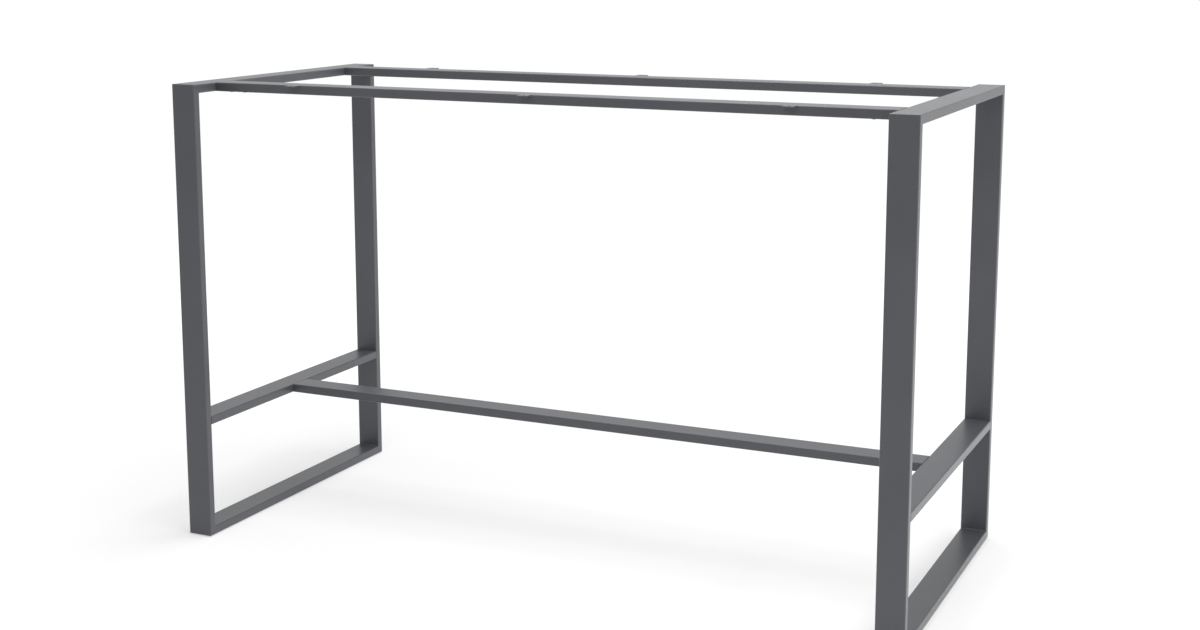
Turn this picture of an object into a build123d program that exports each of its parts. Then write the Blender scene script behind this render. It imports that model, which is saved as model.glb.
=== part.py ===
from build123d import *
import os

# Bar-height table frame without its top. Two closed loops of flat steel tube stand at the ends, two top rails
# and a foot rail tie them together, and tabs on the top rails take the screws of the table top.
# The origin is on the floor under the middle of the frame: X along the table, Y from front to rear, Z up.

# Overall size
FRAME_LENGTH = 1700.0
FRAME_DEPTH = 750.0
FRAME_HEIGHT = 1050.0

# Flat tube, the one section that every bar is cut from
TUBE_WIDTH = 60.0
TUBE_THICKNESS = 20.0
TUBE_WALL = 2.0
TUBE_INNER_CORNER = 0.5

# Places of the bars
CROSS_BAR_TOP = 285.0  # from the floor to the top of the cross bars and the foot rail
RAIL_INSET = 80.0  # from a loop's front or rear face to the outer side of the top rail
LOOP_CORNER = 2.0  # radius that the welds on a loop's outer corners are ground to

# Tabs on the outer sides of the top rails
TAB_WIDTH = 25.0
TAB_REACH = 25.0
TAB_THICKNESS = 3.0
TAB_CORNER = 4.0
TAB_HOLE_DIAMETER = 7.0
TAB_FROM_END = 215.0  # from a rail's end to the middle of its outermost tab

# Folded channels, welded to the bars, that stand inside the ends of the rails
SPIGOT_LENGTH = 80.0
SPIGOT_SHEET = 3.0
SPIGOT_BEND = 1.0  # inside radius of a fold
SPIGOT_CLEARANCE = 0.3

# Screws from the undersides of the rails, and the weld nuts that they go into
SCREWS_PER_JOINT = 2
SCREW_DIAMETER = 6.0
SCREW_LENGTH = 12.0
SCREW_TIP = 0.8
SCREW_HEAD_DIAMETER = 10.5
SCREW_HEAD_HEIGHT = 3.3
SCREW_HEAD_RIM = 0.8
SCREW_SOCKET = 4.0
SCREW_SOCKET_DEPTH = 2.0
SCREW_HOLE_CLEARANCE = 0.3
SCREW_FROM_END = 22.0
SCREW_PITCH = 36.0
NUT_ACROSS_FLATS = 10.0
NUT_HEIGHT = 5.0
THREAD_CLEARANCE = 0.05

# Glides pushed into the undersides of the bottom bars
GLIDE_DIAMETER = 30.0
GLIDE_THICKNESS = 2.0
GLIDE_EDGE = 0.6
GLIDE_STEM_DIAMETER = 8.0
GLIDE_STEM_LENGTH = 9.0
GLIDE_STEM_TIP = 1.0
GLIDE_CLEARANCE = 0.1
GLIDE_FROM_END = 60.0  # from a loop's front or rear face to the middle of the glide

# Values that follow from the sizes above
tube_corner = TUBE_INNER_CORNER + TUBE_WALL
bore_width = TUBE_WIDTH - 2 * TUBE_WALL
bore_height = TUBE_THICKNESS - 2 * TUBE_WALL
half_tube = TUBE_THICKNESS / 2
loop_x = (FRAME_LENGTH - TUBE_WIDTH) / 2
loop_inner_x = FRAME_LENGTH / 2 - TUBE_WIDTH
face_y = FRAME_DEPTH / 2
rail_y = face_y - RAIL_INSET - TUBE_WIDTH / 2
loop_bottom = GLIDE_THICKNESS
bottom_bar_z = loop_bottom + half_tube
cross_bar_z = CROSS_BAR_TOP - half_tube
top_bar_z = FRAME_HEIGHT - half_tube
SIDES = (("left", -1), ("right", 1))
ENDS = (("front", -1), ("rear", 1))


def flat_tube(start, run, across, length, mitres=(), within=None):
    """A tube from start along run, its width along across, cut at the mitre planes and trimmed to within."""
    with BuildPart() as tube:
        with BuildSketch(Plane(origin=start, x_dir=across, z_dir=run)):
            RectangleRounded(TUBE_WIDTH, TUBE_THICKNESS, tube_corner)
            RectangleRounded(bore_width, bore_height, TUBE_INNER_CORNER, mode=Mode.SUBTRACT)
        extrude(amount=length)
        for plane in mitres:
            split(bisect_by=plane, keep=Keep.BOTTOM)
        if within:
            add(within.part, mode=Mode.INTERSECT)
    return tube


def mitre(end, level):
    """The plane of a loop's corner joint, facing the bar. Front and bottom are -1, rear and top are 1."""
    corner_z = FRAME_HEIGHT if level > 0 else loop_bottom
    return Plane(origin=(0, end * face_y, corner_z), x_dir=(1, 0, 0), z_dir=(0, -end, level))


def loop_block(x):
    """The space that a loop may fill: its outline with rounded corners, wider than the loop."""
    with BuildPart() as block:
        with BuildSketch(Plane.YZ.offset(x)):
            with Locations((0, (loop_bottom + FRAME_HEIGHT) / 2)):
                RectangleRounded(FRAME_DEPTH, FRAME_HEIGHT - loop_bottom, LOOP_CORNER)
        extrude(amount=TUBE_WIDTH, both=True)
    return block


def save(piece, name):
    piece.part.label = name
    export_step(piece.part, f"parts/{name}.step")


os.makedirs("parts", exist_ok=True)

# Glide: a flat plastic foot with a stem, made at the origin with its underside on the floor
with BuildPart() as glide:
    with BuildSketch():
        Circle(GLIDE_DIAMETER / 2)
    extrude(amount=GLIDE_THICKNESS)
    chamfer(glide.edges().group_by(Axis.Z)[0], length=GLIDE_EDGE)
    with BuildSketch(Plane.XY.offset(GLIDE_THICKNESS)):
        Circle(GLIDE_STEM_DIAMETER / 2)
    extrude(amount=GLIDE_STEM_LENGTH)
    chamfer(glide.edges().group_by(Axis.Z)[-1], length=GLIDE_STEM_TIP)

# Button head screw, made at the origin with its shank up and the seat of its head at height 0
with BuildPart() as screw:
    with BuildSketch(Plane.XY.offset(-SCREW_HEAD_HEIGHT)):
        Circle(SCREW_HEAD_DIAMETER / 2)
    extrude(amount=SCREW_HEAD_HEIGHT)
    chamfer(screw.edges().group_by(Axis.Z)[0], length=SCREW_HEAD_HEIGHT - SCREW_HEAD_RIM)
    with BuildSketch(Plane.XY.offset(-SCREW_HEAD_HEIGHT)):
        RegularPolygon(SCREW_SOCKET / 2, 6, major_radius=False)
    extrude(amount=SCREW_SOCKET_DEPTH, mode=Mode.SUBTRACT)
    with BuildSketch():
        Circle(SCREW_DIAMETER / 2)
    extrude(amount=SCREW_LENGTH)
    chamfer(screw.edges().group_by(Axis.Z)[-1], length=SCREW_TIP)

# Weld nut, made at the origin with its welded face at height 0
with BuildPart() as nut:
    with BuildSketch():
        RegularPolygon(NUT_ACROSS_FLATS / 2, 6, major_radius=False)
        Circle(SCREW_DIAMETER / 2 + THREAD_CLEARANCE, mode=Mode.SUBTRACT)
    extrude(amount=NUT_HEIGHT)

# End loops: four bars mitred and ground round at the corners, and a cross bar between the uprights
for side, side_sign in SIDES:
    x = side_sign * loop_x
    block = loop_block(x)
    for end, end_sign in ENDS:
        upright = flat_tube(
            start=(x, end_sign * (face_y - half_tube), loop_bottom),
            run=(0, 0, 1),
            across=(1, 0, 0),
            length=FRAME_HEIGHT - loop_bottom,
            mitres=(mitre(end_sign, -1), mitre(end_sign, 1)),
            within=block,
        )
        save(upright, f"{side}_{end}_upright")

        with BuildPart() as foot:
            with Locations((x, end_sign * (face_y - GLIDE_FROM_END), 0)):
                add(glide.part)
        save(foot, f"{side}_{end}_glide")

    top_bar = flat_tube(
        start=(x, -face_y, top_bar_z),
        run=(0, 1, 0),
        across=(1, 0, 0),
        length=FRAME_DEPTH,
        mitres=(-mitre(-1, 1), -mitre(1, 1)),
        within=block,
    )
    save(top_bar, f"{side}_top_bar")

    skid = flat_tube(
        start=(x, -face_y, bottom_bar_z),
        run=(0, 1, 0),
        across=(1, 0, 0),
        length=FRAME_DEPTH,
        mitres=(-mitre(-1, -1), -mitre(1, -1)),
        within=block,
    )
    with BuildPart() as bottom_bar:
        add(skid.part)
        with BuildSketch(Plane.XY.offset(loop_bottom)):
            with Locations(*[(x, end_sign * (face_y - GLIDE_FROM_END)) for end, end_sign in ENDS]):
                Circle(GLIDE_STEM_DIAMETER / 2 + GLIDE_CLEARANCE)
        extrude(amount=TUBE_WALL, mode=Mode.SUBTRACT)
    save(bottom_bar, f"{side}_bottom_bar")

    cross_bar = flat_tube(
        start=(x, TUBE_THICKNESS - face_y, cross_bar_z),
        run=(0, 1, 0),
        across=(1, 0, 0),
        length=FRAME_DEPTH - 2 * TUBE_THICKNESS,
    )
    save(cross_bar, f"{side}_cross_bar")

# Rails, each slid over a spigot at either end and held there by screws from below
RAILS = (
    ("front_top_rail", -rail_y, top_bar_z),
    ("rear_top_rail", rail_y, top_bar_z),
    ("foot_rail", 0, cross_bar_z),
)
spigot_width = bore_width - 2 * SPIGOT_CLEARANCE
spigot_height = bore_height - 2 * SPIGOT_CLEARANCE
screw_hole = SCREW_DIAMETER / 2 + SCREW_HOLE_CLEARANCE
screw_reach = [loop_inner_x - SCREW_FROM_END - n * SCREW_PITCH for n in range(SCREWS_PER_JOINT)]

for rail_name, y, z in RAILS:
    underside = z - half_tube
    web_bottom = underside + TUBE_WALL + SPIGOT_CLEARANCE
    web_top = web_bottom + SPIGOT_SHEET
    screw_spots = [(side_sign * reach, y) for side, side_sign in SIDES for reach in screw_reach]

    tube = flat_tube(
        start=(-loop_inner_x, y, z),
        run=(1, 0, 0),
        across=(0, 1, 0),
        length=2 * loop_inner_x,
    )
    with BuildPart() as rail:
        add(tube.part)
        with BuildSketch(Plane.XY.offset(underside)):
            with Locations(*screw_spots):
                Circle(screw_hole)
        extrude(amount=TUBE_WALL, mode=Mode.SUBTRACT)
    save(rail, rail_name)

    for side, side_sign in SIDES:
        inward = -side_sign
        section_plane = Plane(
            origin=(side_sign * loop_inner_x, y, z),
            x_dir=(0, inward, 0),
            z_dir=(inward, 0, 0),
        )
        with BuildPart() as spigot:
            with BuildSketch(section_plane) as channel:
                Rectangle(spigot_width, spigot_height)
                with Locations((0, SPIGOT_SHEET)):
                    Rectangle(spigot_width - 2 * SPIGOT_SHEET, spigot_height, mode=Mode.SUBTRACT)
                outer_folds, inner_folds, lips = channel.vertices().group_by(Axis.Y)
                fillet(outer_folds, radius=SPIGOT_BEND + SPIGOT_SHEET)
                fillet(inner_folds, radius=SPIGOT_BEND)
            extrude(amount=SPIGOT_LENGTH)
            with BuildSketch(Plane.XY.offset(web_bottom)):
                with Locations(*[(side_sign * reach, y) for reach in screw_reach]):
                    Circle(screw_hole)
            extrude(amount=SPIGOT_SHEET, mode=Mode.SUBTRACT)
        save(spigot, f"{rail_name}_{side}_spigot")

    with BuildPart() as screws:
        with Locations(*[(*spot, underside) for spot in screw_spots]):
            add(screw.part)
    save(screws, f"{rail_name}_screws")

    with BuildPart() as nuts:
        with Locations(*[(*spot, web_top) for spot in screw_spots]):
            add(nut.part)
    save(nuts, f"{rail_name}_nuts")

# Fixing tabs: flat lugs, welded flush with the tops of the top rails on their outer sides
tab_x = loop_inner_x - TAB_FROM_END
for end, end_sign in ENDS:
    rail_side = end_sign * (face_y - RAIL_INSET)
    for place, x in (("left", -tab_x), ("middle", 0), ("right", tab_x)):
        with BuildPart() as tab:
            with BuildSketch(Plane.XY.offset(FRAME_HEIGHT - TAB_THICKNESS)) as outline:
                with Locations((x, rail_side + end_sign * TAB_REACH / 2)):
                    Rectangle(TAB_WIDTH, TAB_REACH)
                    Circle(TAB_HOLE_DIAMETER / 2, mode=Mode.SUBTRACT)
                free_corners = outline.vertices().sort_by(Axis.Y)
                fillet(free_corners[-2:] if end_sign > 0 else free_corners[:2], radius=TAB_CORNER)
            extrude(amount=TAB_THICKNESS)
        save(tab, f"{end}_{place}_tab")
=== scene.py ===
import bpy
import math
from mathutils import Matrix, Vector


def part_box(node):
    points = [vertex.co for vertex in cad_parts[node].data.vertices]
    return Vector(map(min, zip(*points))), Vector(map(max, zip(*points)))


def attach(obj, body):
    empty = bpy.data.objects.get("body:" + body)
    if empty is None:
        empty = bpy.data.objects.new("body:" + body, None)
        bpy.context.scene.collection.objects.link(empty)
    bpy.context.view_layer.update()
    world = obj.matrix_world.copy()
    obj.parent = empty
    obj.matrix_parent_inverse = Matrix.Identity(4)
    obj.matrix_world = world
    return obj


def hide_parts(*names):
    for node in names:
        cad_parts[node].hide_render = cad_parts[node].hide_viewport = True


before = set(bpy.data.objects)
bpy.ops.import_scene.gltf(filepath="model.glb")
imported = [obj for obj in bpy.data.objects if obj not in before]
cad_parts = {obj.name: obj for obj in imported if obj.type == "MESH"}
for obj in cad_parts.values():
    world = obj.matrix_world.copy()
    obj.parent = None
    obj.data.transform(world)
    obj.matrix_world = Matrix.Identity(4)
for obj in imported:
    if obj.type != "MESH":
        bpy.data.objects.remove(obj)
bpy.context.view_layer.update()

# End loops, top rails, foot rail, spigots and fixing tabs.
# Flat steel tube, sawn, mitred and welded, with folded spigots and flat lugs, all sprayed with anthracite
# powder and baked. The coat is satin, with a fine orange peel and a slight drift in shade.
SIDES = ("left", "right")
ENDS = ("front", "rear")
LOOP_BARS = ("front_upright", "rear_upright", "top_bar", "bottom_bar", "cross_bar")
RAILS = ("front_top_rail", "rear_top_rail", "foot_rail")
TAB_PLACES = ("left", "middle", "right")
COAT_DARK = (0.050, 0.0525, 0.060, 1.0)
COAT_LIGHT = (0.058, 0.0605, 0.069, 1.0)
COAT_ROUGHNESS = (0.35, 0.43)
COAT_DRIFT_PER_M = 7.0
COAT_DRIFT_DETAIL = 3.0
COAT_PEEL_PER_M = 420.0
COAT_PEEL_DETAIL = 1.0
COAT_PEEL_DEPTH = 0.00006
COAT_GRAIN_PER_M = 1700.0
COAT_GRAIN_DETAIL = 2.0
COAT_GRAIN_DEPTH = 0.00003
MOTTLE_SPAN = (0.3, 0.7)  # nearly all of an uneven pattern lies between these, out of 0 to 1


def step(tree, kind, sockets, **settings):
    """The outputs of a new node, with its sockets linked to other nodes or set to plain values."""
    node = tree.nodes.new(kind)
    for setting, value in settings.items():
        setattr(node, setting, value)
    for socket, value in sockets.items():
        if isinstance(value, bpy.types.NodeSocket):
            tree.links.new(value, node.inputs[socket])
        else:
            node.inputs[socket].default_value = value
    return node.outputs


def new_finish(name):
    """A material, its tree of nodes, and the sockets of its shader."""
    finish = bpy.data.materials.new(name)
    finish.use_nodes = True
    tree = finish.node_tree
    return finish, tree, tree.nodes["Principled BSDF"].inputs


def mottle(tree, cells_per_metre, detail):
    """An uneven pattern on the piece's own coordinates."""
    place = step(tree, "ShaderNodeTexCoord", {})["Object"]
    pattern = {"Vector": place, "Scale": cells_per_metre, "Detail": detail}
    return step(tree, "ShaderNodeTexNoise", pattern)["Fac"]


def between(tree, pattern, low, high):
    """A value that follows the pattern from low to high."""
    span = {"Value": pattern, "To Min": low, "To Max": high}
    span["From Min"], span["From Max"] = MOTTLE_SPAN
    return step(tree, "ShaderNodeMapRange", span)["Result"]


def shade(tree, pattern, dark, light):
    """A colour that follows the pattern from dark to light."""
    mix = {"Factor": between(tree, pattern, 0.0, 1.0), "A": dark, "B": light}
    return step(tree, "ShaderNodeMix", mix, data_type="RGBA")["Result"]


def relief(tree, pattern, depth, below=None):
    """A surface that the pattern raises by up to that depth, over the relief below it if there is one."""
    raised = {"Height": pattern, "Strength": 1.0, "Distance": depth}
    if below is not None:
        raised["Normal"] = below
    return step(tree, "ShaderNodeBump", raised)["Normal"]


def dress(tree, shader, colour, roughness, surface):
    """Gives the shader its colour, its roughness and its relief."""
    tree.links.new(colour, shader["Base Color"])
    tree.links.new(roughness, shader["Roughness"])
    tree.links.new(surface, shader["Normal"])


def wear(names, finish):
    """Puts the finish on those pieces of the frame."""
    for name in names:
        for material_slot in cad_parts[name].material_slots:
            material_slot.material = finish


coat, coat_tree, coat_shader = new_finish("anthracite_powder")
coat_drift = mottle(coat_tree, COAT_DRIFT_PER_M, COAT_DRIFT_DETAIL)
coat_peel = mottle(coat_tree, COAT_PEEL_PER_M, COAT_PEEL_DETAIL)
coat_grain = mottle(coat_tree, COAT_GRAIN_PER_M, COAT_GRAIN_DETAIL)
coat_colour = shade(coat_tree, coat_drift, COAT_DARK, COAT_LIGHT)
coat_sheen = between(coat_tree, coat_grain, *COAT_ROUGHNESS)
peel_relief = relief(coat_tree, coat_peel, COAT_PEEL_DEPTH)
coat_relief = relief(coat_tree, coat_grain, COAT_GRAIN_DEPTH, peel_relief)
dress(coat_tree, coat_shader, coat_colour, coat_sheen, coat_relief)

coated = [f"{side}_{bar}" for side in SIDES for bar in LOOP_BARS]
coated += RAILS
coated += [f"{rail}_{side}_spigot" for rail in RAILS for side in SIDES]
coated += [f"{end}_{place}_tab" for end in ENDS for place in TAB_PLACES]
wear(coated, coat)

# Weld beads.
# Fillets of weld metal in the loops' inner corners, under the ends of the cross bars and under the tabs.
# Laid in short overlapping ripples and coated with the rest. The loops' outer corners are ground flush.
WELD_LEG = 0.0018
WELD_BULGE = 0.5  # how far behind the corner the round of a bead is centred, in legs
WELD_RIPPLE_PITCH = 0.0015
WELD_RIPPLE_DEPTH = 0.12  # in thicknesses of the bead
WELD_RINGS_PER_RIPPLE = 5.0
WELD_CRESCENT = 0.0017  # how strongly the middle of a ripple runs ahead of its toes
WELD_TAPER = 0.0025
WELD_END_THICKNESS = 0.4
WELD_ARC_POINTS = 9
WELD_WANDER = 0.00025
WELD_WANDER_PER_M = 260.0
WELD_WANDER_MEAN = 0.5  # the middle of the uneven pattern, out of 0 to 1
WELD_SEED = 7.0
BAR_WELD_LENGTH = 0.054
TAB_WELD_LENGTH = 0.022
DOWN_FORWARD = math.radians(0.0)  # these four say which way a bead faces from its corner
DOWN_REARWARD = math.radians(90.0)
UP_REARWARD = math.radians(180.0)
UP_FORWARD = math.radians(270.0)


def new_tree(name, sizes):
    """A tree that grows a piece on points in the named sizes, and the sockets at its two ends."""
    tree = bpy.data.node_groups.new(name, "GeometryNodeTree")
    tree.interface.new_socket("Points", in_out="INPUT", socket_type="NodeSocketGeometry")
    for size in sizes:
        tree.interface.new_socket(size, in_out="INPUT", socket_type="NodeSocketFloat")
    tree.interface.new_socket("Material", in_out="INPUT", socket_type="NodeSocketMaterial")
    tree.interface.new_socket("Geometry", in_out="OUTPUT", socket_type="NodeSocketGeometry")
    return tree, tree.nodes.new("NodeGroupInput").outputs, tree.nodes.new("NodeGroupOutput").inputs


def reckon(tree, operation, *values):
    """The result of one operation on numbers or fields."""
    return step(tree, "ShaderNodeMath", dict(enumerate(values)), operation=operation)["Value"]


def point(tree, x=0.0, y=0.0, z=0.0):
    """A vector from three numbers or fields."""
    return step(tree, "ShaderNodeCombineXYZ", {"X": x, "Y": y, "Z": z})["Vector"]


def place_in(tree):
    """The X, Y and Z of each point of what the tree is shaping."""
    place = step(tree, "GeometryNodeInputPosition", {})["Position"]
    return step(tree, "ShaderNodeSeparateXYZ", {"Vector": place})


def moved(tree, shape, offset):
    """The shape, moved by the offset."""
    return step(tree, "GeometryNodeTransform", {"Geometry": shape, "Translation": offset})["Geometry"]


def copies(tree, points, shape, axis):
    """A real copy of the shape on each point, turned about the axis by the point's own angle."""
    turn = step(tree, "GeometryNodeInputNamedAttribute", {"Name": "turn"}, data_type="FLOAT")["Attribute"]
    turned = step(tree, "FunctionNodeEulerToRotation", {"Euler": point(tree, **{axis: turn})})["Rotation"]
    set_out = {"Points": points, "Instance": shape, "Rotation": turned}
    laid = step(tree, "GeometryNodeInstanceOnPoints", set_out)["Instances"]
    return step(tree, "GeometryNodeRealizeInstances", {"Geometry": laid})["Geometry"]


def send_out(tree, shape, finish, grown):
    """Gives the shape its finish and passes it out of the tree."""
    finished = step(tree, "GeometryNodeSetMaterial", {"Geometry": shape, "Material": finish})["Geometry"]
    tree.links.new(finished, grown["Geometry"])


def grow(name, tree, places, finish, sizes):
    """A plain mesh piece that the tree grows in those sizes on the places, each a point and its angle."""
    points = bpy.data.meshes.new(name)
    points.from_pydata([spot for spot, angle in places], [], [])
    turns = points.attributes.new("turn", "FLOAT", "POINT")
    turns.data.foreach_set("value", [angle for spot, angle in places])
    piece = bpy.data.objects.new(name, points)
    bpy.context.scene.collection.objects.link(piece)
    modifier = piece.modifiers.new(name, "NODES")
    modifier.node_group = tree
    values = {**sizes, "Material": finish}
    for socket in tree.interface.items_tree:
        if socket.in_out == "INPUT" and socket.name in values:
            modifier[socket.identifier] = values[socket.name]
    evaluated = piece.evaluated_get(bpy.context.evaluated_depsgraph_get())
    mesh = bpy.data.meshes.new_from_object(evaluated)
    piece.modifiers.remove(modifier)
    mesh.materials.clear()
    mesh.materials.append(finish)
    mesh.polygons.foreach_set("material_index", [0] * len(mesh.polygons))
    piece.data = mesh
    return piece


bead_sizes = {
    "Leg": WELD_LEG,
    "Bulge": WELD_BULGE,
    "Ripple Pitch": WELD_RIPPLE_PITCH,
    "Ripple Depth": WELD_RIPPLE_DEPTH,
    "Rings": WELD_RINGS_PER_RIPPLE,
    "Crescent": WELD_CRESCENT,
    "Taper": WELD_TAPER,
    "End Thickness": WELD_END_THICKNESS,
    "Wander": WELD_WANDER,
    "Wander Per Metre": WELD_WANDER_PER_M,
    "Seed": WELD_SEED,
}
bead, size, grown = new_tree("weld_bead", ("Length", *bead_sizes))

# The line of the joint, with several rings to each ripple.
half = reckon(bead, "MULTIPLY", size["Length"], 0.5)
back = reckon(bead, "MULTIPLY", half, -1.0)
joint_ends = {"Start": point(bead, back), "End": point(bead, half)}
joint = step(bead, "GeometryNodeCurvePrimitiveLine", joint_ends)["Curve"]
ring_gap = reckon(bead, "DIVIDE", size["Ripple Pitch"], size["Rings"])
rings = {"Curve": joint, "Length": ring_gap}
joint = step(bead, "GeometryNodeResampleCurve", rings, mode="LENGTH")["Curve"]

# How thick the bead is along the joint: it swells at each ripple and runs out at both ends.
along = step(bead, "GeometryNodeSplineParameter", {})["Length"]
half_wave = reckon(bead, "DIVIDE", reckon(bead, "MULTIPLY", along, math.pi), size["Ripple Pitch"])
ripple = reckon(bead, "ABSOLUTE", reckon(bead, "SINE", half_wave))
swell = reckon(bead, "MULTIPLY_ADD", ripple, size["Ripple Depth"], 1.0)
to_end = reckon(bead, "MINIMUM", along, reckon(bead, "SUBTRACT", size["Length"], along))
run_out = reckon(bead, "MINIMUM", reckon(bead, "DIVIDE", to_end, size["Taper"]), 1.0)
end_loss = reckon(bead, "SUBTRACT", 1.0, size["End Thickness"])
run_out = reckon(bead, "MULTIPLY_ADD", reckon(bead, "SQRT", run_out), end_loss, size["End Thickness"])
thickness = reckon(bead, "MULTIPLY", swell, run_out)

# The section of the bead: an arc that bulges from toe to toe, closed behind the corner.
toe = reckon(bead, "ADD", size["Bulge"], 1.0)
start_angle = reckon(bead, "ARCTAN2", size["Bulge"], toe)
bulge_squared = reckon(bead, "POWER", size["Bulge"], 2.0)
reach = reckon(bead, "SQRT", reckon(bead, "MULTIPLY_ADD", toe, toe, bulge_squared))
arc = {
    "Resolution": WELD_ARC_POINTS,
    "Radius": reckon(bead, "MULTIPLY", reach, size["Leg"]),
    "Start Angle": start_angle,
    "Sweep Angle": reckon(bead, "MULTIPLY_ADD", start_angle, -2.0, math.pi / 2),
    "Connect Center": True,
}
section = step(bead, "GeometryNodeCurveArc", arc, mode="RADIUS")["Curve"]
centre = reckon(bead, "MULTIPLY", reckon(bead, "MULTIPLY", size["Bulge"], size["Leg"]), -1.0)
section = moved(bead, section, point(bead, centre, centre))
place = place_in(bead)
leg_squared = reckon(bead, "POWER", size["Leg"], 2.0)
crown = reckon(bead, "DIVIDE", reckon(bead, "MULTIPLY", place["X"], place["Y"]), leg_squared)
lead = point(bead, z=reckon(bead, "MULTIPLY", crown, size["Crescent"]))
section = step(bead, "GeometryNodeSetPosition", {"Geometry": section, "Offset": lead})["Geometry"]
swept = {"Curve": joint, "Profile Curve": section, "Scale": thickness, "Fill Caps": True}
one_bead = step(bead, "GeometryNodeCurveToMesh", swept)["Mesh"]

# A bead on each joint, made a little uneven as a hand lays it.
beads = copies(bead, size["Points"], one_bead, "x")
wander = {"Scale": size["Wander Per Metre"], "W": size["Seed"]}
uneven = step(bead, "ShaderNodeTexNoise", wander, noise_dimensions="4D")["Fac"]
uneven = reckon(bead, "MULTIPLY", reckon(bead, "SUBTRACT", uneven, WELD_WANDER_MEAN), size["Wander"])
outward = step(bead, "GeometryNodeInputNormal", {})["Normal"]
lift = step(bead, "ShaderNodeVectorMath", {0: outward, "Scale": uneven}, operation="SCALE")["Vector"]
beads = step(bead, "GeometryNodeSetPosition", {"Geometry": beads, "Offset": lift})["Geometry"]
beads = step(bead, "GeometryNodeSetShadeSmooth", {"Geometry": beads})["Geometry"]
send_out(bead, beads, size["Material"], grown)

bar_joints = []
for side in SIDES:
    skid_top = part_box(f"{side}_bottom_bar")[1].z
    cross_bar_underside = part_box(f"{side}_cross_bar")[0].z
    top_bar_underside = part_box(f"{side}_top_bar")[0].z
    for end in ENDS:
        low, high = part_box(f"{side}_{end}_upright")
        x = (low.x + high.x) / 2
        y, up, down = high.y, UP_REARWARD, DOWN_REARWARD
        if end == "rear":
            y, up, down = low.y, UP_FORWARD, DOWN_FORWARD
        bar_joints.append(((x, y, skid_top), up))
        bar_joints.append(((x, y, cross_bar_underside), down))
        bar_joints.append(((x, y, top_bar_underside), down))

tab_joints = []
for end in ENDS:
    rail_low, rail_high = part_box(f"{end}_top_rail")
    y, facing = rail_low.y, DOWN_FORWARD
    if end == "rear":
        y, facing = rail_high.y, DOWN_REARWARD
    for tab in TAB_PLACES:
        low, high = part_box(f"{end}_{tab}_tab")
        tab_joints.append((((low.x + high.x) / 2, y, low.z), facing))

loop_welds = grow("loop_welds", bead, bar_joints, coat, {"Length": BAR_WELD_LENGTH, **bead_sizes})
tab_welds = grow("tab_welds", bead, tab_joints, coat, {"Length": TAB_WELD_LENGTH, **bead_sizes})
for welds in (loop_welds, tab_welds):
    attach(welds, "root")

# Weld nuts.
# Hexagon nuts of zinc plated steel, welded to the inside of each spigot over its screw holes.
# The plating is bright but cloudy, with fine crystals.
ZINC_DARK = (0.34, 0.35, 0.37, 1.0)
ZINC_LIGHT = (0.50, 0.51, 0.52, 1.0)
ZINC_ROUGHNESS = (0.30, 0.48)
PLATING_CLOUDS_PER_M = 300.0
PLATING_CLOUD_DETAIL = 3.0
PLATING_CRYSTALS_PER_M = 2200.0
PLATING_CRYSTAL_DETAIL = 2.0
PLATING_CRYSTAL_DEPTH = 0.00002


def plating(name, dark, light, roughness):
    """A plated steel finish, cloudy from dark to light, with fine crystals."""
    finish, tree, shader = new_finish(name)
    clouds = mottle(tree, PLATING_CLOUDS_PER_M, PLATING_CLOUD_DETAIL)
    crystals = mottle(tree, PLATING_CRYSTALS_PER_M, PLATING_CRYSTAL_DETAIL)
    colour = shade(tree, clouds, dark, light)
    sheen = between(tree, crystals, *roughness)
    dress(tree, shader, colour, sheen, relief(tree, crystals, PLATING_CRYSTAL_DEPTH))
    shader["Metallic"].default_value = 1.0
    return finish


zinc = plating("zinc_plating", ZINC_DARK, ZINC_LIGHT, ZINC_ROUGHNESS)
wear([f"{rail}_nuts" for rail in RAILS], zinc)

# Button head screws.
# M6 screws of steel with black zinc plating and a 4 mm hexagon socket, two at each end of each rail.
# Driven up through the rail's underside and the spigot into the weld nuts, so that only the heads show.
BLACK_ZINC_DARK = (0.022, 0.022, 0.025, 1.0)
BLACK_ZINC_LIGHT = (0.040, 0.040, 0.042, 1.0)
BLACK_ZINC_ROUGHNESS = (0.34, 0.50)
SCREW_HEAD_DIAMETER = 0.0105
SCREW_HEAD_HEIGHT = 0.0033
SCREW_RIM_HEIGHT = 0.0008
SCREW_FLAT_DIAMETER = 0.0056
SCREW_SOCKET = 0.004
SCREW_SOCKET_DEPTH = 0.002
SCREW_CORE_DIAMETER = 0.0049
SCREW_LENGTH = 0.012
SCREW_PITCH = 0.001
SCREW_RIDGE = 0.0006
SCREW_SPACING = 0.036
SCREW_TURN_STEP = 17.0  # degrees by which each screw is turned on from the one before
HEAD_SIDES = 40
HEAD_RINGS = 9
SOCKET_SIDES = 6
CORE_SIDES = 24
RIDGE_SIDES = 3
THREAD_POINTS_PER_TURN = 20
SHARP_EDGE = math.radians(35.0)

screw_sizes = {
    "Head Diameter": SCREW_HEAD_DIAMETER,
    "Head Height": SCREW_HEAD_HEIGHT,
    "Rim Height": SCREW_RIM_HEIGHT,
    "Flat Diameter": SCREW_FLAT_DIAMETER,
    "Socket": SCREW_SOCKET,
    "Socket Depth": SCREW_SOCKET_DEPTH,
    "Core Diameter": SCREW_CORE_DIAMETER,
    "Length": SCREW_LENGTH,
    "Pitch": SCREW_PITCH,
    "Ridge": SCREW_RIDGE,
}
screw, size, grown = new_tree("button_head_screw", screw_sizes)

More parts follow.
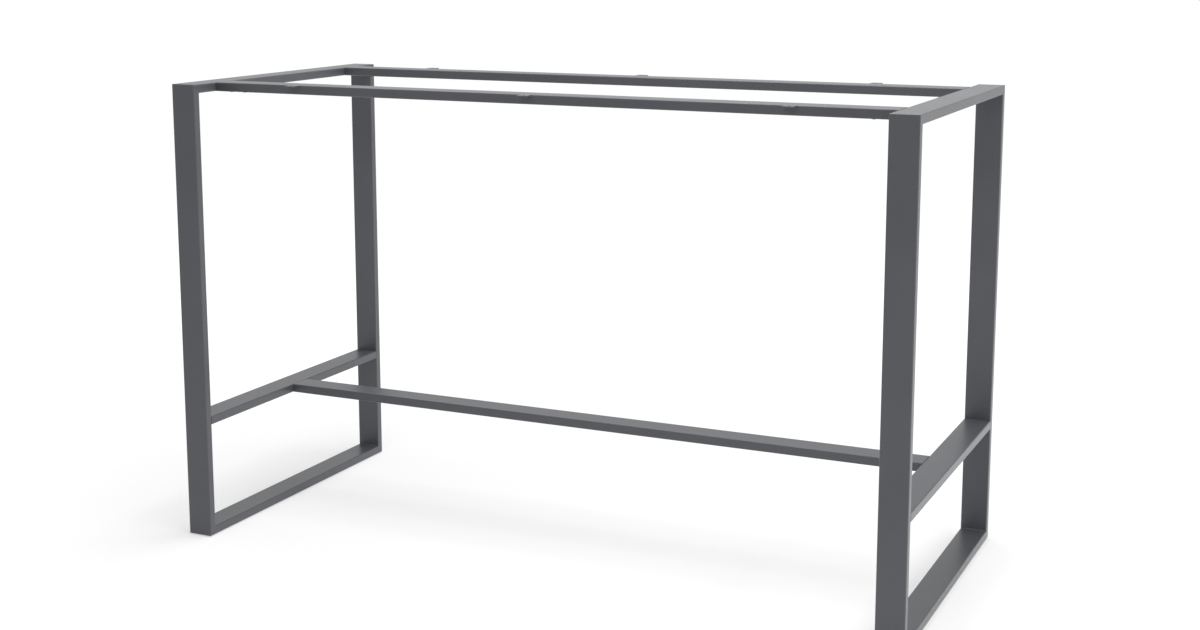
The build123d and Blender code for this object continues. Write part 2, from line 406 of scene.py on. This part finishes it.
# The head: a drum whose first ring becomes the rim and whose other rings are drawn in to a dome.
drum = {"Vertices": HEAD_SIDES, "Side Segments": HEAD_RINGS, "Radius": 1.0, "Depth": 1.0}
head = step(screw, "GeometryNodeMeshCylinder", drum, fill_type="NGON")["Mesh"]
place = place_in(screw)
ring = reckon(screw, "MULTIPLY", reckon(screw, "SUBTRACT", 0.5, place["Z"]), float(HEAD_RINGS))
on_rim = reckon(screw, "MINIMUM", ring, 1.0)
on_dome = reckon(screw, "MAXIMUM", reckon(screw, "SUBTRACT", ring, 1.0), 0.0)
dome_angle = reckon(screw, "MULTIPLY", on_dome, math.pi / 2 / (HEAD_RINGS - 1))
rim_radius = reckon(screw, "MULTIPLY", size["Head Diameter"], 0.5)
flat_radius = reckon(screw, "MULTIPLY", size["Flat Diameter"], 0.5)
fall = reckon(screw, "SUBTRACT", rim_radius, flat_radius)
radius = reckon(screw, "MULTIPLY_ADD", reckon(screw, "COSINE", dome_angle), fall, flat_radius)
dome_height = reckon(screw, "SUBTRACT", size["Head Height"], size["Rim Height"])
below_rim = reckon(screw, "MULTIPLY", reckon(screw, "SINE", dome_angle), dome_height)
below_seat = reckon(screw, "MULTIPLY_ADD", on_rim, size["Rim Height"], below_rim)
ring_x = reckon(screw, "MULTIPLY", place["X"], radius)
ring_y = reckon(screw, "MULTIPLY", place["Y"], radius)
ring_z = reckon(screw, "MULTIPLY", below_seat, -1.0)
drawn = {"Geometry": head, "Position": point(screw, ring_x, ring_y, ring_z)}
head = step(screw, "GeometryNodeSetPosition", drawn)["Geometry"]

# The socket: a hexagon, as wide across its flats as the key, cut out of the head's end.
hexagon = {
    "Vertices": SOCKET_SIDES,
    "Radius": reckon(screw, "DIVIDE", size["Socket"], math.sqrt(3.0)),
    "Depth": reckon(screw, "MULTIPLY", size["Socket Depth"], 2.0),
}
key = step(screw, "GeometryNodeMeshCylinder", hexagon, fill_type="NGON")["Mesh"]
key = moved(screw, key, point(screw, z=reckon(screw, "MULTIPLY", size["Head Height"], -1.0)))
cut = {"Mesh 1": head, "Mesh 2": key}
head = step(screw, "GeometryNodeMeshBoolean", cut, operation="DIFFERENCE", solver="EXACT")["Mesh"]

# The shank: a plain core with a three-sided ridge wound round it.
core_radius = reckon(screw, "MULTIPLY", size["Core Diameter"], 0.5)
rod = {"Vertices": CORE_SIDES, "Radius": core_radius, "Depth": size["Length"]}
core = step(screw, "GeometryNodeMeshCylinder", rod)["Mesh"]
core = moved(screw, core, point(screw, z=reckon(screw, "MULTIPLY", size["Length"], 0.5)))
thread_length = reckon(screw, "MULTIPLY_ADD", size["Pitch"], -1.0, size["Length"])
winding = {
    "Resolution": THREAD_POINTS_PER_TURN,
    "Rotations": reckon(screw, "DIVIDE", thread_length, size["Pitch"]),
    "Start Radius": core_radius,
    "End Radius": core_radius,
    "Height": thread_length,
}
helix = step(screw, "GeometryNodeCurveSpiral", winding)["Curve"]
ridge_section = {"Resolution": RIDGE_SIDES, "Radius": size["Ridge"]}
ridge = step(screw, "GeometryNodeCurvePrimitiveCircle", ridge_section)["Curve"]
wound = {"Curve": helix, "Profile Curve": ridge, "Fill Caps": True}
thread = step(screw, "GeometryNodeCurveToMesh", wound)["Mesh"]
thread = moved(screw, thread, point(screw, z=reckon(screw, "MULTIPLY", size["Pitch"], 0.5)))

# The whole screw, smooth but for its sharp edges, and one of them on each seat.
whole = screw.nodes.new("GeometryNodeJoinGeometry")
for part in (head, core, thread):
    screw.links.new(part, whole.inputs["Geometry"])
one_screw = whole.outputs["Geometry"]
one_screw = step(screw, "GeometryNodeSetShadeSmooth", {"Geometry": one_screw}, domain="FACE")["Geometry"]
bend = step(screw, "GeometryNodeInputMeshEdgeAngle", {})["Unsigned Angle"]
sharp = reckon(screw, "GREATER_THAN", bend, SHARP_EDGE)
edges = {"Geometry": one_screw, "Selection": sharp, "Shade Smooth": False}
one_screw = step(screw, "GeometryNodeSetShadeSmooth", edges, domain="EDGE")["Geometry"]
screws = copies(screw, size["Points"], one_screw, "z")
send_out(screw, screws, size["Material"], grown)

screw_seats = []
for rail in RAILS:
    low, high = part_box(rail)
    outer_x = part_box(f"{rail}_screws")[1].x - SCREW_HEAD_DIAMETER / 2  # the box ends at the outer head
    for side in (-1, 1):
        for x in (outer_x, outer_x - SCREW_SPACING):
            angle = math.radians(SCREW_TURN_STEP * len(screw_seats))
            screw_seats.append(((side * x, (low.y + high.y) / 2, low.z), angle))

black_zinc = plating("black_zinc_plating", BLACK_ZINC_DARK, BLACK_ZINC_LIGHT, BLACK_ZINC_ROUGHNESS)
rail_screws = grow("rail_screws", screw, screw_seats, black_zinc, screw_sizes)
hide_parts("front_top_rail_screws", "rear_top_rail_screws", "foot_rail_screws")
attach(rail_screws, "root")

# Glides.
# Thin round feet of black moulded plastic, each with a stem pushed into a hole in the skid's underside.
# The mould leaves a fine grain, and the plastic is slightly shinier in some places than in others.
GLIDE_DARK = (0.016, 0.016, 0.018, 1.0)
GLIDE_LIGHT = (0.026, 0.026, 0.028, 1.0)
GLIDE_ROUGHNESS = (0.45, 0.65)
GLIDE_CLOUDS_PER_M = 90.0
GLIDE_CLOUD_DETAIL = 2.0
GLIDE_GRAIN_PER_M = 1500.0
GLIDE_GRAIN_DETAIL = 2.0
GLIDE_GRAIN_DEPTH = 0.00004

plastic, plastic_tree, plastic_shader = new_finish("moulded_black_plastic")
plastic_clouds = mottle(plastic_tree, GLIDE_CLOUDS_PER_M, GLIDE_CLOUD_DETAIL)
plastic_grain = mottle(plastic_tree, GLIDE_GRAIN_PER_M, GLIDE_GRAIN_DETAIL)
plastic_colour = shade(plastic_tree, plastic_clouds, GLIDE_DARK, GLIDE_LIGHT)
plastic_sheen = between(plastic_tree, plastic_clouds, *GLIDE_ROUGHNESS)
plastic_relief = relief(plastic_tree, plastic_grain, GLIDE_GRAIN_DEPTH)
dress(plastic_tree, plastic_shader, plastic_colour, plastic_sheen, plastic_relief)
wear([f"{side}_{end}_glide" for side in SIDES for end in ENDS], plastic)

# Floor, sky and lights.
# A plain white floor under an even white sky, with a wide soft light overhead and a soft one on the right.
# The floor keeps the frame's shadow. It glows a little, for what looks straight at it, so that it is white.
PURE_WHITE = (1.0, 1.0, 1.0, 1.0)
FLOOR_HALF = 30.0
FLOOR_ROUGHNESS = 0.9
FLOOR_COLOUR = (0.90, 0.90, 0.90, 1.0)
FLOOR_SEEN_COLOUR = (0.50, 0.50, 0.50, 1.0)  # as the camera sees it, under the glow
FLOOR_GLOW = (0.45, 0.80)  # under the frame, and far from it
FLOOR_GLOW_REACH = (0.4, 3.4)  # from the frame's middle
SKY_LIGHT = 0.42
SKY_SEEN = 1.0
TOP_LIGHT_WATTS = 116.0
TOP_LIGHT_SIZE = (3.6, 2.6)
TOP_LIGHT_PLACE = (0.45, 0.0, 3.4)
TOP_LIGHT_TARGET = (0.0, 0.0, 0.0)
RIGHT_LIGHT_WATTS = 58.0
RIGHT_LIGHT_SIZE = (2.4, 2.4)
RIGHT_LIGHT_PLACE = (3.6, -0.7, 1.0)
RIGHT_LIGHT_TARGET = (0.0, 0.0, 0.6)


def seen_directly(tree):
    """1 where the camera, a reflection or a clear material looks, and 0 where light falls on the frame."""
    path = step(tree, "ShaderNodeLightPath", {})
    either = reckon(tree, "MAXIMUM", path["Is Camera Ray"], path["Is Glossy Ray"])
    return reckon(tree, "MAXIMUM", either, path["Is Transmission Ray"])


def soft_light(name, watts, size, place, target):
    """A rectangular soft light, hung at the place and facing the target."""
    lamp = bpy.data.lights.new(name, "AREA")
    lamp.shape = "RECTANGLE"
    lamp.size, lamp.size_y = size
    lamp.energy = watts
    light = bpy.data.objects.new(name, lamp)
    light.location = place
    light.rotation_euler = (Vector(target) - Vector(place)).to_track_quat("-Z", "Y").to_euler()
    bpy.context.scene.collection.objects.link(light)
    return light


floor_mesh = bpy.data.meshes.new("floor")
floor_corners = [(x * FLOOR_HALF, y * FLOOR_HALF, 0.0) for x, y in ((-1, -1), (1, -1), (1, 1), (-1, 1))]
floor_mesh.from_pydata(floor_corners, [], [(0, 1, 2, 3)])
floor = bpy.data.objects.new("floor", floor_mesh)
bpy.context.scene.collection.objects.link(floor)

white, white_tree, white_shader = new_finish("white_floor")
white_shader["Roughness"].default_value = FLOOR_ROUGHNESS
white_shader["Specular IOR Level"].default_value = 0.0
white_shader["Emission Color"].default_value = PURE_WHITE
camera_looks = step(white_tree, "ShaderNodeLightPath", {})["Is Camera Ray"]
floor_mix = {"Factor": camera_looks, "A": FLOOR_COLOUR, "B": FLOOR_SEEN_COLOUR}
floor_colour = step(white_tree, "ShaderNodeMix", floor_mix, data_type="RGBA")["Result"]
floor_place = step(white_tree, "ShaderNodeTexCoord", {})["Object"]
distance = step(white_tree, "ShaderNodeVectorMath", {0: floor_place}, operation="LENGTH")["Value"]
glow_span = {"Value": distance}
glow_span["From Min"], glow_span["From Max"] = FLOOR_GLOW_REACH
glow_span["To Min"], glow_span["To Max"] = FLOOR_GLOW
glow = step(white_tree, "ShaderNodeMapRange", glow_span, interpolation_type="SMOOTHSTEP")["Result"]
seen_glow = reckon(white_tree, "MULTIPLY", seen_directly(white_tree), glow)
white_tree.links.new(floor_colour, white_shader["Base Color"])
white_tree.links.new(seen_glow, white_shader["Emission Strength"])
floor_mesh.materials.append(white)

sky = bpy.data.worlds.new("white_sky")
sky.use_nodes = True
bpy.context.scene.world = sky
sky_tree = sky.node_tree
sky_shader = sky_tree.nodes["Background"].inputs
sky_shader["Color"].default_value = PURE_WHITE
sky_span = {"Value": seen_directly(sky_tree), "To Min": SKY_LIGHT, "To Max": SKY_SEEN}
sky_tree.links.new(step(sky_tree, "ShaderNodeMapRange", sky_span)["Result"], sky_shader["Strength"])

soft_light("overhead_light", TOP_LIGHT_WATTS, TOP_LIGHT_SIZE, TOP_LIGHT_PLACE, TOP_LIGHT_TARGET)
right_light = soft_light(
    "right_light", RIGHT_LIGHT_WATTS, RIGHT_LIGHT_SIZE, RIGHT_LIGHT_PLACE, RIGHT_LIGHT_TARGET
)
right_light.visible_glossy = False  # its mirror image would bleach the rails' tops, seen from the left

bpy.context.scene.view_settings.view_transform = "Standard"

# Camera.
# Front right of the frame, a little above its top, turned to the left and tipped down.
# Its picture is shifted down a little, so that it tips less and the uprights stay nearly vertical.
CAMERA_PLACE = (1.6271, -3.4693, 1.3544)
CAMERA_TURN = math.radians(24.690)
CAMERA_TIP = math.radians(9.414)
CAMERA_LENS = 51.57
CAMERA_SENSOR = 36.0
CAMERA_SHIFT_Y = -0.07

lens = bpy.data.cameras.new("camera")
lens.lens = CAMERA_LENS
lens.sensor_width = CAMERA_SENSOR
lens.shift_y = CAMERA_SHIFT_Y
camera = bpy.data.objects.new("camera", lens)
camera.location = CAMERA_PLACE
camera.rotation_euler = (math.pi / 2 - CAMERA_TIP, 0.0, CAMERA_TURN)
bpy.context.scene.collection.objects.link(camera)
bpy.context.scene.camera = camera
